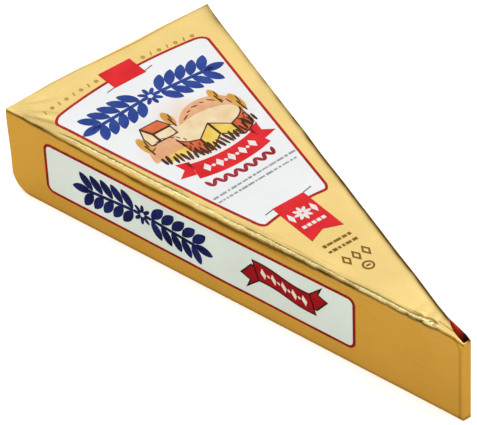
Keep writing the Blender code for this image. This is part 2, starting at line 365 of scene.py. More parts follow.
def topPush(point, edge, onTop):
    # Sagging foil, the creases of the near corner, and the foil drawn over the near edge
    calm = 1.0 - 0.6 * smoothStep(*relief["quickFrom"], edge)
    bend = relief["fineStray"] * noiseAt(point.x / relief["fineWave"], point.y / relief["fineWave"], 2.0)
    fine = fanDrop(point, fineCreases, relief["fineRoot"], bend)
    push = relief["slowDepth"] * noise.noise(point / relief["slowWave"])
    push += relief["quickDepth"] * noise.noise(point / relief["quickWave"]) * calm - fine
    push = push * onTop - relief["topSag"] * smoothStep(0.0, relief["sagReach"], edge)
    aside = nearHalfWidth(point.x) + point.y
    along = smoothStep(*relief["nearEdge"], point.x) * (1.0 - smoothStep(*relief["nearEdgeEnd"], point.x))
    uneven = 0.75 + 0.5 * noiseAt(point.x / 7.0, aside / 3.0, 1.0)
    ridge = bell(relief["crestPlace"], relief["crestWidth"], aside) * along * uneven
    hollow = bell(relief["hollowPlace"], relief["hollowWidth"], aside) * along
    push += relief["crestHeight"] * ridge - relief["hollowDepth"] * hollow
    pucker = noiseAt(point.x / relief["puckerWave"], aside / relief["puckerWave"], 7.0)
    push += relief["puckerDepth"] * pucker * bell(relief["puckerPlace"], relief["puckerWidth"], aside) * along
    facet = facetPush(point.x, aside)
    streak = max(0.0, noiseAt(point.x / 9.0, aside / 0.55, 6.0)) * along
    streak *= bell(relief["streakPlace"], relief["streakWidth"], aside)
    streak *= 1.0 - smoothStep(*relief["streakEnd"], point.x)
    # Painted shade in the creases, the streaks, the hollow and the dents, and a painted highlight on the
    # ridge and the raised facets
    fold = paintedShadeStrength["fineCrease"] * fine + paintedShadeStrength["crease"] * fanDrop(point, creases, creaseRoot)
    fold += paintedShadeStrength["streak"] * streak + paintedShadeStrength["hollow"] * hollow * uneven
    fold += paintedShadeStrength["dent"] * max(0.0, -facet)
    return push + facet, fold, ridge + relief["facetHighlight"] * max(0.0, facet)


def paintedFarEdgeShade(point, normal):
    # Painted shade: a dark line along the far top edge and a soft patch at the far back corner
    farAside = farHalfWidth(point.x) - point.y
    uneven = 0.9 + 0.4 * noiseAt(point.x / 5.0, 3.0, 3.0)
    share = 0.35 + 0.65 * smoothStep(30.0, 85.0, point.x)
    corner = math.hypot(point.x - 7.0, (farAside - 1.0) * 2.2)
    fold = paintedShadeStrength["farEdge"] * bell(relief["farEdgePlace"], relief["farEdgeWidth"], farAside)
    fold = fold * share * uneven + paintedShadeStrength["farCorner"] * bell(0.0, relief["farCornerWidth"], corner)
    return fold * smoothStep(0.1, 0.45, normal.z)


def nearWallPush(point, onWall):
    # A soft groove under the top edge, the fold line over it, and the fold beside the end face, each pressed
    # in and darkened with painted shade
    middle = wedge["height"] - relief["grooveHeight"] + relief["grooveWobble"] * noise.noise(point / 4.0)
    groove = bell(relief["groovePlace"], relief["grooveSpread"], point.x)
    groove *= bell(middle, relief["grooveWidth"], point.z)
    quiver = 0.26 * noiseAt(point.x / 3.4, 2.0, 0.0) + 0.16 * noiseAt(point.x / 1.3, 5.0, 0.0)
    line = bell(fromTable(edgeLine, point.x, 1) + quiver, fromTable(edgeLine, point.x, 2), point.z)
    line *= 0.92 + 0.35 * noiseAt(point.x / 4.5, 9.0, 0.0)
    turned = relief["tipCreaseTurn"] * smoothStep(24.5, 29.5, point.z) ** 2
    crease = bell(relief["tipCrease"] - turned, relief["tipCreaseWidth"], point.x) * onWall
    push = relief["grooveDepth"] * groove + relief["lineDepth"] * line + relief["tipCreaseDepth"] * crease
    return -push, (paintedShadeStrength["groove"] * groove + paintedShadeStrength["edgeLine"] * line
                   + paintedShadeStrength["tipCrease"] * crease)


def rindPush(point, onWall):
    # Pleats pressed into the rind side, with painted shade in them
    turn = point.y / wedge["backWidth"] * relief["pleats"] + 0.3 * noise.noise(point / 9.0)
    pleat = bell(0.0, relief["pleatWidth"], turn - round(turn))
    pleat *= smoothStep(4.0, wedge["height"], point.z) * onWall
    return -relief["pleatDepth"] * pleat, paintedShadeStrength["pleat"] * pleat


def basePush(point, edge):
    # The wrapper's overlap under the base: a long seam and folded-in ends, pressed in, with wrinkles, all
    # darkened with painted shade
    seam = bell(0.0, relief["seamWidth"], point.y - relief["seamSlope"] * (80.0 - point.x))
    for place in relief["tucks"]:
        seam += bell(0.0, relief["seamWidth"], (point.x - place) * 0.8 + 0.6 * abs(point.y))
    seam = min(seam, 1.0)
    wrinkle = max(0.0, noiseAt(point.x / 16.0, point.y / 2.2, 8.0))
    inside = smoothStep(0.5, 3.0, edge)
    return (-(relief["seamDepth"] * seam + relief["wrinkleDepth"] * wrinkle) * inside,
            (paintedShadeStrength["seam"] * seam + paintedShadeStrength["wrinkle"] * wrinkle) * inside)


def foilPush(point, normal):
    # How far the foil stands out here, and how much painted fold shade and painted highlight it takes
    edge = min(nearHalfWidth(point.x) + point.y, farHalfWidth(point.x) - point.y, point.x)
    onTop = smoothStep(*relief["topFacing"], normal.z)
    onWall = 1.0 - smoothStep(*relief["wallFacing"], abs(normal.z))
    push, paintedFoldShade, crestHighlight = topPush(point, edge, onTop) if onTop > 0.0 else (0.0, 0.0, 0.0)
    if normal.y > -0.2 and normal.z > 0.1:
        paintedFoldShade += paintedFarEdgeShade(point, normal)
    if onWall > 0.0:
        stretched = Vector((point.x, point.y, point.z * relief["wallStretch"])) / relief["wallWave"]
        push += relief["wallDepth"] * (noise.noise(stretched) - relief["wallSunk"]) * onWall
    pressed = []
    if normal.y < -0.2:
        pressed.append(nearWallPush(point, onWall))
    if normal.x < -0.5:
        pressed.append(rindPush(point, onWall))
    if normal.z < -0.6:
        pressed.append(basePush(point, edge))
    push += sum(item[0] for item in pressed)
    paintedFoldShade += sum(item[1] for item in pressed)
    # Painted shade along the foot of the walls
    paintedFoldShade += paintedShadeStrength["foot"] * onWall * (1.0 - smoothStep(0.1, 0.8, point.z))
    return push, min(paintedFoldShade, 1.0), min(crestHighlight, 1.0)


def makeRowBlock(along, lastAcross, up):
    # A plain block whose unit cells are the rows of the pack's skin
    mesh = bmesh.new()
    bmesh.ops.create_cube(mesh, size=1.0)
    size = Vector((len(along) - 1, lastAcross, len(up) - 1))
    bmesh.ops.translate(mesh, vec=(0.5, 0.5, 0.5), verts=mesh.verts)
    bmesh.ops.scale(mesh, vec=size, verts=mesh.verts)
    for axis in range(3):
        edges = [edge for edge in mesh.edges if edge.verts[0].co[axis] != edge.verts[1].co[axis]]
        bmesh.ops.subdivide_edges(mesh, edges=edges, cuts=int(size[axis]) - 1, use_grid_fill=True)
    return mesh


def centreShift(mesh):
    xs = [vert.co.x for vert in mesh.verts]
    ys = [vert.co.y for vert in mesh.verts]
    middle = (cadLow + cadHigh) / 2 / millimetre
    return Vector((middle.x - (min(xs) + max(xs)) / 2, middle.y - (min(ys) + max(ys)) / 2, 0.0))


def makeFoilSkin():
    along, up = rowsAlong(), rowsUp()
    lastAcross = rows["across"] + 2 * folds["rows"]
    mesh = makeRowBlock(along, lastAcross, up)
    for vert in mesh.verts:
        i, j, k = (round(value) for value in vert.co)
        vert.co = placeOnWedge(*shapePoint(along[i], j, lastAcross, up[k]))
    shift = centreShift(mesh)
    mesh.normal_update()
    paintedFoldShade, topShare, paintedCrestHighlight = (mesh.verts.layers.float.new(name) for name in
                                 ("paintedFoldShade", "topShare", "paintedCrestHighlight"))
    moves = []
    for vert in mesh.verts:
        push, vert[paintedFoldShade], vert[paintedCrestHighlight] = foilPush(vert.co, vert.normal)
        # How much a face looks up, which the gold takes for its painted light on the top
        vert[topShare] = smoothStep(0.25, 0.9, vert.normal.z)
        straightUp = smoothStep(0.5, 0.9, vert.normal.z)
        outwards = vert.normal.lerp(Vector((0.0, 0.0, 1.0)), straightUp)
        moves.append(outwards * push + rimMove(vert.co))
    for vert, move in zip(mesh.verts, moves):
        vert.co += move + shift
        room = relief["printRoom"] * (1.0 - smoothStep(12.0, 16.0, vert.co.x - shift.x))
        room *= 1.0 - smoothStep(9.0, 14.0, abs(vert.co.y + 1.5))
        vert.co.z = min(vert.co.z, wedge["height"] - room - relief["margin"])
        vert.co.x = max(vert.co.x, cadLow.x / millimetre + relief["margin"])
    return mesh, shift


def slotNearSide(along):
    start = farHalfWidth(slot["start"]) - slot["wall"] - folds["tip"]
    t = (along - slot["start"]) / (wedge["length"] - slot["wall"] - slot["start"])
    return slot["nearEnd"] + (start - slot["nearEnd"]) * (1.0 - t) ** 2


def makeSlotCutter(shift):
    mesh = bmesh.new()
    bmesh.ops.create_cube(mesh, size=1.0)
    lengthwise = [edge for edge in mesh.edges if edge.verts[0].co.x != edge.verts[1].co.x]
    bmesh.ops.subdivide_edges(mesh, edges=lengthwise, cuts=slot["rows"] - 1, use_grid_fill=True)
    length = wedge["length"] - slot["wall"] - slot["start"]
    for vert in mesh.verts:
        along = slot["start"] + length * (vert.co.x + 0.5)
        y = slotNearSide(along) if vert.co.y < 0 else farHalfWidth(along) - slot["wall"]
        z = wedge["height"] - slot["depth"] if vert.co.z < 0 else wedge["height"] + folds["top"]
        vert.co = Vector((along, y, z)) + shift
    for face in mesh.faces:
        face.material_index = 1
    return addObject("slotCutter", mesh, [])


def addObject(name, mesh, materials):
    data = bpy.data.meshes.new(name)
    mesh.to_mesh(data)
    mesh.free()
    for material in materials:
        data.materials.append(material)
    item = bpy.data.objects.new(name, data)
    bpy.context.scene.collection.objects.link(item)
    return item


def applyModifiers(item):
    shown = item.evaluated_get(bpy.context.evaluated_depsgraph_get())
    data = bpy.data.meshes.new_from_object(shown)
    item.modifiers.clear()
    old, item.data = item.data, data
    data.name = item.name
    bpy.data.meshes.remove(old)


def finishPiece(piece, sharpAngle=35.0):
    piece.data.transform(Matrix.Scale(millimetre, 4))
    piece.data.shade_smooth()
    piece.data.set_sharp_from_angle(angle=math.radians(sharpAngle))
    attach(piece, "root")


# Materials

def linear(colour):
    # A colour as the eye reads it on a screen, 0 to 255, made linear
    return tuple((c / 255 / 12.92 if c < 10.3 else ((c / 255 + 0.055) / 1.055) ** 2.4) for c in colour)


def newMaterial(name):
    material = bpy.data.materials.new(name)
    material.use_nodes = True
    return material, material.node_tree, material.node_tree.nodes["Principled BSDF"]


def addNode(tree, kind, **values):
    node = tree.nodes.new(kind)
    for key, value in values.items():
        setattr(node, key, value)
    return node


def placeOf(tree):
    return addNode(tree, "ShaderNodeTexCoord").outputs["Object"]


def attributeOf(tree, name):
    return addNode(tree, "ShaderNodeAttribute", attribute_name=name).outputs["Fac"]


def mathOf(tree, operation, first, second):
    node = addNode(tree, "ShaderNodeMath", operation=operation, use_clamp=True)
    tree.links.new(first, node.inputs[0])
    tree.links.new(second, node.inputs[1])
    return node.outputs[0]


def noiseOf(tree, place, scale, detail):
    node = addNode(tree, "ShaderNodeTexNoise")
    node.inputs["Scale"].default_value = scale
    node.inputs["Detail"].default_value = detail
    tree.links.new(place, node.inputs["Vector"])
    return node.outputs["Fac"]


def mixOf(tree, share, first, second):
    # Each of the two colours is a socket, or three numbers from 0 to 255
    node = addNode(tree, "ShaderNodeMix", data_type="RGBA")
    tree.links.new(share, node.inputs[0])
    for socket, colour in ((node.inputs[6], first), (node.inputs[7], second)):
        if isinstance(colour, bpy.types.NodeSocket):
            tree.links.new(colour, socket)
        else:
            socket.default_value = (*linear(colour), 1.0)
    return node.outputs[2]


def rangeOf(tree, value, low, high, newLow, newHigh):
    node = addNode(tree, "ShaderNodeMapRange")
    tree.links.new(value, node.inputs["Value"])
    for key, number in (("From Min", low), ("From Max", high), ("To Min", newLow), ("To Max", newHigh)):
        node.inputs[key].default_value = number
    return node.outputs["Result"]


def bumpOf(tree, height, distance, strength):
    node = addNode(tree, "ShaderNodeBump")
    node.inputs["Distance"].default_value = distance
    node.inputs["Strength"].default_value = strength
    tree.links.new(height, node.inputs["Height"])
    return node.outputs["Normal"]


cloudSpan = (0.3, 0.7)               # the part of the cloud noise that shows
goldLook = {
    # top and wall are painted light and painted shade by facing; fold is the colour of the painted shade in
    # the folds, and of the random cloud
    "top": (244, 214, 139), "wall": (186, 140, 60), "fold": (84, 56, 2),
    # The painted highlight on the crests and raised facets: its colour, where it starts and how strong it is
    "crestHighlight": (255, 245, 178), "crestFrom": 0.15, "crestStrength": 0.95,
    "edgeTint": (255, 216, 120),     # of the light that glances off
    "metallic": 0.86, "roughness": (0.22, 0.36),
    "cloud": 55.0, "cloudStrength": 0.12,
    "grain": 900.0, "grainHeight": 0.00004, "grainStrength": 0.35,
    "wrinkle": 560.0, "wrinkleHeight": 0.0015, "wrinkleStrength": 0.85,
}


def makeGoldFoil():
    material, tree, shader = newMaterial("goldFoil")
    place, paintedFoldShade = placeOf(tree), attributeOf(tree, "paintedFoldShade")
    # Painted light and shade: lighter gold where a face looks up, darker on the walls
    gold = mixOf(tree, attributeOf(tree, "topShare"), goldLook["wall"], goldLook["top"])
    # Painted highlight on the crests and the raised facets, kept out of the painted fold shade
    paintedCrestHighlight = rangeOf(tree, attributeOf(tree, "paintedCrestHighlight"), goldLook["crestFrom"], 1.0,
                      0.0, goldLook["crestStrength"])
    highlightShare = mathOf(tree, "SUBTRACT", paintedCrestHighlight, paintedFoldShade)
    gold = mixOf(tree, highlightShare, gold, goldLook["crestHighlight"])
    cloud = noiseOf(tree, place, goldLook["cloud"], 4.0)
    dim = rangeOf(tree, cloud, *cloudSpan, goldLook["cloudStrength"], 0.0)
    gold = mixOf(tree, dim, gold, goldLook["fold"])
    # Painted shade in the folds, creases, dents and seams
    gold = mixOf(tree, paintedFoldShade, gold, goldLook["fold"])
    tree.links.new(gold, shader.inputs["Base Color"])
    tree.links.new(rangeOf(tree, cloud, *cloudSpan, *goldLook["roughness"]), shader.inputs["Roughness"])
    grain = noiseOf(tree, place, goldLook["grain"], 3.0)
    fine = bumpOf(tree, grain, goldLook["grainHeight"], goldLook["grainStrength"])
    # Small wrinkles where the foil is drawn over the near edge
    wrinkle = mathOf(tree, "MULTIPLY", noiseOf(tree, place, goldLook["wrinkle"], 2.0), highlightShare)
    rough = bumpOf(tree, wrinkle, goldLook["wrinkleHeight"], goldLook["wrinkleStrength"])
    tree.links.new(fine, rough.node.inputs["Normal"])
    tree.links.new(rough, shader.inputs["Normal"])
    shader.inputs["Metallic"].default_value = goldLook["metallic"]
    shader.inputs["Specular Tint"].default_value = (*linear(goldLook["edgeTint"]), 1.0)
    return material


liningLook = {
    "tone": (255, 118, 64), "deep": (236, 78, 36), "cloud": 400.0, "roughness": 0.5,
    # shade is the painted shade deep in the open point, from shadeFrom to shadeTo along the length
    "shade": (46, 14, 8), "shadeFrom": 77.0, "shadeTo": 80.6,
}


def makeLining():
    material, tree, shader = newMaterial("foilLining")
    place = placeOf(tree)
    cloud = noiseOf(tree, place, liningLook["cloud"], 3.0)
    tone = mixOf(tree, cloud, liningLook["deep"], liningLook["tone"])
    split = addNode(tree, "ShaderNodeSeparateXYZ")
    tree.links.new(place, split.inputs[0])
    # Painted shade: the lining darkens towards the end of the open point
    start, stop = (liningLook[key] * millimetre for key in ("shadeFrom", "shadeTo"))
    far = rangeOf(tree, split.outputs["X"], start, stop, 0.0, 1.0)
    tree.links.new(mixOf(tree, far, tone, liningLook["shade"]), shader.inputs["Base Color"])
    shader.inputs["Roughness"].default_value = liningLook["roughness"]
    return material


inkLook = {"roughnessSpread": 0.05, "grain": 1400.0, "grainHeight": 0.00003, "grainStrength": 0.25}


def makeInk(name, slotName, tone, deep, cloudScale=140.0, roughness=0.55, gloss=0.12):
    # An ink is its material and a slot name, which the pieces printed in it are not given
    material, tree, shader = newMaterial(name)
    place = placeOf(tree)
    cloud = noiseOf(tree, place, cloudScale, 3.0)
    share = rangeOf(tree, cloud, *cloudSpan, 0.0, 1.0)
    tree.links.new(mixOf(tree, share, tone, deep), shader.inputs["Base Color"])
    spread = inkLook["roughnessSpread"]
    rough = rangeOf(tree, cloud, *cloudSpan, roughness - spread, roughness + spread)
    tree.links.new(rough, shader.inputs["Roughness"])
    grain = noiseOf(tree, place, inkLook["grain"], 2.0)
    fine = bumpOf(tree, grain, inkLook["grainHeight"], inkLook["grainStrength"])
    tree.links.new(fine, shader.inputs["Normal"])
    shader.inputs["Specular IOR Level"].default_value = gloss
    return material, slotName


# The foil

lining = makeLining()
skin, shift = makeFoilSkin()
foilPack = addObject("foilWrapper", skin, [makeGoldFoil(), lining])
cutter = makeSlotCutter(shift)
cut = foilPack.modifiers.new("open point", "BOOLEAN")
cut.operation = "DIFFERENCE"
cut.solver = "MANIFOLD"
cut.object = cutter
applyModifiers(foilPack)
bpy.data.objects.remove(cutter, do_unlink=True)
foilSurface = BVHTree.FromPolygons(
    [vert.co for vert in foilPack.data.vertices],
    [tuple(face.vertices) for face in foilPack.data.polygons])
finishPiece(foilPack, 40.0)
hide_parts("foil_pack")
print("foil made:", len(foilPack.data.polygons), "faces")


# Print: flat shapes with their right along x and their up along y, laid on the foil

printLay = {"stripGap": 0.95, "rayStart": 30.0, "sunk": -0.08}
lifts = {
    # how far each kind of print stands above the foil
    "ticks": 0.04, "panel": 0.05, "hills": 0.07, "leaves": 0.08, "table": 0.085, "trees": 0.09,
    "ribbon": 0.10, "folds": 0.11, "outline": 0.13, "strokes": 0.14, "tabMarks": 0.16,
}


def topRay(a, b):
    # The top print reads from the rind side: its right is +Y and its up is -X
    return Vector((-b, a, wedge["height"] + printLay["rayStart"])), Vector((0.0, 0.0, -1.0))


def nearRay(a, b):
    # The near wall's print: right is towards the point, up is +Z
    slope = math.atan(wallSlope)
    outwards = Vector((math.sin(slope), -math.cos(slope), 0.0))
    foot = Vector((a, -nearHalfWidth(a), b)) + shift
    return foot + outwards * printLay["rayStart"], -outwards


def farRay(a, b):
    # The far wall's print reads from the other side, so it runs towards the rind
    slope = math.atan((chordHalf - wedge["farBendWidth"]) / wedge["farBend"])
    outwards = Vector((math.sin(slope), math.cos(slope), 0.0))
    along = sidePanel["left"] + sidePanel["right"] - a
    foot = Vector((along, farHalfWidth(along), b)) + shift
    return foot + outwards * printLay["rayStart"], -outwards


def cutIntoStrips(mesh):
    for axis in (0, 1):
        places = [vert.co[axis] for vert in mesh.verts]
        normal = Vector((1.0, 0.0, 0.0)) if axis == 0 else Vector((0.0, 1.0, 0.0))
        for place in evenly(min(places), max(places), printLay["stripGap"])[1:-1]:
            geometry = mesh.verts[:] + mesh.edges[:] + mesh.faces[:]
            bmesh.ops.bisect_plane(mesh, geom=geometry, plane_co=normal * place, plane_no=normal)


def layPrint(name, mesh, lift, ink, ray=topRay):
    # Flat shapes become thin closed slabs that follow the foil
    cutIntoStrips(mesh)
    raised = bmesh.ops.extrude_face_region(mesh, geom=mesh.faces[:])["geom"]
    upper = {item for item in raised if isinstance(item, bmesh.types.BMVert)}
    for vert in mesh.verts:
        start, direction = ray(vert.co.x, vert.co.y)
        found, normal = foilSurface.ray_cast(start, direction)[:2]
        vert.co = found + normal * (lifts[lift] if vert in upper else printLay["sunk"])
    bmesh.ops.recalc_face_normals(mesh, faces=mesh.faces[:])
    material, slotName = ink
    finishPiece(addObject(name, mesh, [material]))


def layOnWalls(name, makeMesh, lift, ink):
    for side, ray in (("near", nearRay), ("far", farRay)):
        layPrint(side + name, makeMesh(), lift, ink, ray)


def addOutline(mesh, points):
    verts = [mesh.verts.new((a, b, 0.0)) for a, b in points]
    mesh.faces.new(verts)
    return verts


def moveShape(mesh, verts, at, turn=0.0):
    bmesh.ops.rotate(mesh, verts=verts, cent=(0, 0, 0), matrix=Matrix.Rotation(math.radians(turn), 3, "Z"))
    bmesh.ops.translate(mesh, verts=verts, vec=(at[0], at[1], 0.0))
    return verts


def addLeaf(mesh, at, length, width, turn, point=0.75, segments=16):
    verts = bmesh.ops.create_circle(mesh, cap_ends=True, segments=segments, radius=0.5)["verts"]
    for vert in verts:
        belly = max(0.0, 1.0 - (2.0 * vert.co.x) ** 2) ** point
        side = 1.0 if vert.co.y > 0 else -1.0
        vert.co = Vector((vert.co.x * length, side * belly * width / 2, 0.0))
    return moveShape(mesh, verts, at, turn)


def addDot(mesh, at, across, segments=12):
    verts = bmesh.ops.create_circle(mesh, cap_ends=True, segments=segments, radius=across / 2)["verts"]
    return moveShape(mesh, verts, at)


def addBar(mesh, at, length, width, turn=0.0):
    verts = bmesh.ops.create_grid(mesh, x_segments=1, y_segments=1, size=0.5)["verts"]
    bmesh.ops.scale(mesh, vec=(length, width, 1.0), verts=verts)
    return moveShape(mesh, verts, at, turn)


def hollowOut(mesh, faces, stroke):
    bmesh.ops.inset_region(mesh, faces=faces, thickness=stroke, use_boundary=True, use_even_offset=True)
    bmesh.ops.delete(mesh, geom=faces, context="FACES_ONLY")
    return mesh


def addRing(mesh, at, across, stroke, segments=20):
    verts = addDot(mesh, at, across, segments)
    hollowOut(mesh, [verts[0].link_faces[0]], stroke)


def bendOnArc(mesh, middle, radius):
    # Wraps the flat shapes round an arc: a positive radius arches up, a negative one sags
    for vert in mesh.verts:
        angle = vert.co.x / radius
        reach = radius + vert.co.y
        vert.co.x = middle[0] + reach * math.sin(angle)
        vert.co.y = middle[1] + reach * math.cos(angle) - radius
    return mesh


# Panels

topPanel = {
    # corners, right and up: near front, far front, far back, near back
    "corners": ((-13.2, -9.1), (12.5, -7.9), (28.6, 70.5), (-31.3, 68.3)),
    "nearBow": 0.7,
    "frontArch": 1.3,
    "backArch": 2.9,
    "flat": (43.0, 77.0),
    "corner": 3.0,
    "border": 0.88,
}
sidePanel = {
    "left": 12.9, "right": 126.0, "low": 6.1, "high": 24.4,
    "lean": 0.8,                     # the foot of the left end is set in by this
    "corner": 2.6,
    "border": 0.9,
    # along, how much the low edge and the high edge wander
    "edges": ((13.0, 0.0, 0.0), (40.0, -0.1, -0.1), (60.0, -0.2, -0.35), (80.0, -0.5, 0.0),
              (100.0, -0.45, 0.25), (113.0, -0.4, 0.5), (126.0, -0.4, 0.65)),
}
panelRows = 24


def roundedOutline(width, height, corner):
    mesh = bmesh.new()
    addOutline(mesh, ((0.0, 0.0), (width, 0.0), (width, height), (0.0, height)))
    bmesh.ops.bevel(mesh, geom=mesh.verts[:], offset=corner, affect="VERTICES", segments=6,
                    profile=0.5, material=-1)
    straight = [edge for edge in mesh.edges if edge.calc_length() > corner]
    bmesh.ops.subdivide_edges(mesh, edges=straight, cuts=panelRows)
    return mesh


def topPanelOutline():
    width, height = topPanel["flat"]
    mesh = roundedOutline(width, height, topPanel["corner"])
    nearFront, farFront, farBack, nearBack = (Vector(corner) for corner in topPanel["corners"])
    for vert in mesh.verts:
        s, t = vert.co.x / width, vert.co.y / height
        place = nearFront.lerp(farFront, s).lerp(nearBack.lerp(farBack, s), t)
        arch = topPanel["frontArch"] + (topPanel["backArch"] - topPanel["frontArch"]) * t
        bow = topPanel["nearBow"] * 4 * t * (1 - t) * (1 - s)
        vert.co = Vector((place.x - bow, place.y + arch * 4 * s * (1 - s), 0.0))
    return mesh


def sidePanelOutline():
    width = sidePanel["right"] - sidePanel["left"]
    height = sidePanel["high"] - sidePanel["low"]
    mesh = roundedOutline(width, height, sidePanel["corner"])
    for vert in mesh.verts:
        t = vert.co.y / height
        foot = sidePanel["lean"] * (1.0 - t) * (1.0 - vert.co.x / width)
        along = sidePanel["left"] + vert.co.x
        low, high = (fromTable(sidePanel["edges"], along, column) for column in (1, 2))
        vert.co += Vector((sidePanel["left"] + foot, sidePanel["low"] + low + (high - low) * t, 0.0))
    return mesh


def borderOf(mesh, width):
    return hollowOut(mesh, mesh.faces[:], width)


pictureHaze = {
    "middle": (-1.5, 38.5), "reach": (20.0, 15.0), "tone": (240, 206, 176), "strength": 0.75,
    "fade": (0.75, 1.35), "cloud": 160.0, "ragged": 0.7,
}


def tintPanel(ink):
    # A soft warm haze behind the picture, in the panel's own ink
    tree = ink[0].node_tree
    baseColour = tree.nodes["Principled BSDF"].inputs["Base Color"]
    white = baseColour.links[0].from_socket
    place = placeOf(tree)
    mapping = addNode(tree, "ShaderNodeMapping")
    a, b = pictureHaze["middle"]
    wide, high = (reach * millimetre for reach in pictureHaze["reach"])
    mapping.inputs["Scale"].default_value = (1.0 / high, 1.0 / wide, 0.0)
    mapping.inputs["Location"].default_value = (b * millimetre / high, -a * millimetre / wide, 0.0)
    tree.links.new(place, mapping.inputs["Vector"])
    length = addNode(tree, "ShaderNodeVectorMath", operation="LENGTH")
    tree.links.new(mapping.outputs["Vector"], length.inputs[0])
    ragged = addNode(tree, "ShaderNodeMath", operation="MULTIPLY_ADD")
    tree.links.new(noiseOf(tree, place, pictureHaze["cloud"], 2.0), ragged.inputs[0])
    ragged.inputs[1].default_value = pictureHaze["ragged"]
    tree.links.new(length.outputs["Value"], ragged.inputs[2])
    share = rangeOf(tree, ragged.outputs[0], *pictureHaze["fade"], pictureHaze["strength"], 0.0)
    tree.links.new(mixOf(tree, share, white, pictureHaze["tone"]), baseColour)
    return ink


topWhite = tintPanel(makeInk("topPanelWhite", "white_ink", (243, 244, 245), (236, 238, 238), 60.0, 0.5, 0.25))
# The walls take darker copies of the top's white and red: painted shade
shadedWallWhite = makeInk("shadedSidePanelWhite", "white_ink", (213, 220, 208), (203, 211, 198), 60.0, 0.5, 0.25)
borderRed = makeInk("borderRed", "red_ink", (194, 40, 32), (160, 28, 24))
shadedWallBorderRed = makeInk("shadedSideBorderRed", "red_ink", (150, 18, 14), (120, 12, 10), gloss=0.03)

layPrint("topPanel", topPanelOutline(), "panel", topWhite)
layPrint("topBorder", borderOf(topPanelOutline(), topPanel["border"]), "ribbon", borderRed)
layOnWalls("Panel", sidePanelOutline, "panel", shadedWallWhite)
layOnWalls("Border", lambda: borderOf(sidePanelOutline(), sidePanel["border"]), "ribbon", shadedWallBorderRed)
print("panels laid")


# Leaf garlands, in blue on the panels

topGarland = {
    "half": 26.0, "middle": (-1.8, 58.3), "bend": 190.0,
    "stem": 1.3, "leaf": 7.2, "width": 3.3, "slant": 54.0, "gap": 3.9, "clear": 0.5,
    "rosette": 6.4,
}
sideGarland = {
    "half": 25.6, "middle": (49.3, 15.6), "bend": 150.0,
    "stem": 1.2, "leaf": 6.8, "width": 3.2, "slant": 54.0, "gap": 3.9, "clear": 0.5,
    "rosette": 6.0,
}


def makeGarland(garland):
    # Leaf pairs slant outwards from a rosette at the middle
    mesh = bmesh.new()
    slant = math.radians(garland["slant"])
    reach = garland["leaf"] / 2
    start = garland["rosette"] / 2 + 0.4
    for side in (-1, 1):
        length = garland["half"] - start - garland["leaf"] / 2
        addBar(mesh, (side * (start + length / 2), 0.0), length, garland["stem"])
        for place in evenly(start, start + length - garland["gap"], garland["gap"]):
            a = side * (place + reach * math.cos(slant))
            b = garland["clear"] + reach * math.sin(slant)
            addLeaf(mesh, (a, b), garland["leaf"], garland["width"], side * garland["slant"])
            addLeaf(mesh, (a, -b), garland["leaf"], garland["width"], -side * garland["slant"])
        addLeaf(mesh, (side * (garland["half"] - reach + 0.3), 0.0), garland["leaf"], garland["width"], 0.0)
    for n in range(8):
        angle = 45.0 * n
        at = Vector((math.cos(math.radians(angle)), math.sin(math.radians(angle))))
        at *= 0.36 * garland["rosette"]
        addLeaf(mesh, at, garland["rosette"] * 0.5, garland["rosette"] * 0.22, angle, 0.5)
    return bendOnArc(mesh, garland["middle"], garland["bend"])


topBlue = makeInk("garlandBlue", "blue_ink", (48, 76, 158), (34, 58, 136))
# The walls' blue is a darker copy of the top's blue: painted shade
shadedWallBlue = makeInk("shadedSideGarlandBlue", "blue_ink", (20, 30, 92), (8, 12, 54), gloss=0.03)
layPrint("topGarland", makeGarland(topGarland), "leaves", topBlue)
layOnWalls("Garland", lambda: makeGarland(sideGarland), "leaves", shadedWallBlue)
print("garlands laid")


# Ribbons and tabs, in red

topRibbon = {
    "middle": (-0.6, 21.6), "bend": -44.0, "half": 12.3, "width": 7.2, "columns": 16,
    # the folded end, which comes out from behind the ribbon, and the fold between them
    "tail": ((12.35, -1.6), (17.3, -2.0), (15.1, 1.5), (17.3, 4.6), (12.35, 4.6)),
    "fold": ((12.3, 3.6), (14.0, 4.6), (12.3, 1.0)),
}
sideRibbon = {
    "middle": (100.7, 15.9), "half": 10.5, "width": 6.9, "columns": 14,
    "tilt": -5.0, "wave": -0.45, "lean": 0.42,
    "tail": ((10.0, 3.4), (16.4, 8.0), (13.9, 4.5), (17.0, 3.5), (11.4, -1.6), (10.2, -1.6)),
    "outline": 0.46,
}
backTab = {"left": -7.5, "right": 4.2, "low": 67.9, "high": 76.0}
frontTab = {"left": -6.2, "right": 5.3, "low": -22.3, "high": -4.0, "notch": 2.4}


def ribbonBand(ribbon):
    mesh = bmesh.new()
    verts = bmesh.ops.create_grid(mesh, x_segments=ribbon["columns"], y_segments=2, size=0.5)["verts"]
    bmesh.ops.scale(mesh, vec=(2 * ribbon["half"], ribbon["width"], 1.0), verts=verts)
    return mesh


def bothEnds(points, turned):
    # The same shape at both ends, mirrored or turned half round
    mesh = bmesh.new()
    for side in (-1, 1):
        addOutline(mesh, [(side * a, side * b if turned else b) for a, b in points])
    return mesh


def onTopRibbon(mesh):
    return bendOnArc(mesh, topRibbon["middle"], topRibbon["bend"])


def onSideRibbon(mesh):
    # Leans and waves the flat shapes, then puts them on their place along the wall
    for vert in mesh.verts:
        wave = sideRibbon["wave"] * math.sin(math.pi * vert.co.x / sideRibbon["half"])
        vert.co += Vector((-sideRibbon["lean"] * vert.co.y, wave, 0.0))
    moveShape(mesh, mesh.verts, sideRibbon["middle"], sideRibbon["tilt"])
    return mesh


def makeSideRibbon():
    return onSideRibbon(ribbonBand(sideRibbon))


def makeSideTails():
    return onSideRibbon(bothEnds(sideRibbon["tail"], True))


